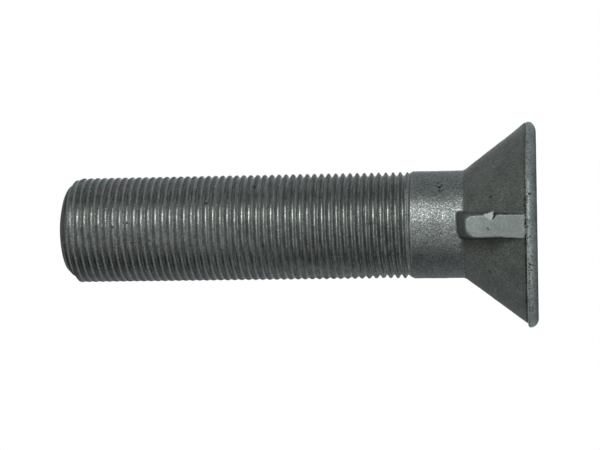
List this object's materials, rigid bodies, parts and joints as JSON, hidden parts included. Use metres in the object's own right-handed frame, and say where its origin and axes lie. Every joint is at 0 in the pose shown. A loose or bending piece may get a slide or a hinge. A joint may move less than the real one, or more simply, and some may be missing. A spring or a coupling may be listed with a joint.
{
  "type": "countersunk nib bolt",
  "caption": "Forged steel bolt with a flat countersunk head, an anti-turn nib on the cone, a short plain neck and a long fine-pitch threaded shank.",
  "frame": {"origin": "centre of the flat head face, which is the lowest point when the bolt stands on its head", "axes": "+Z along the bolt's axis from the head face to the threaded tip; the nib on the head's cone faces -Y"},
  "size_m": [0.0569, 0.0568, 0.1327],
  "materials": {
    "steel": "dull dark grey forged steel, grainy on the head and neck, brighter on the rolled thread crests"
  },
  "bodies": {
    "root": {"bolt": "steel"}
  },
  "joints": []
}
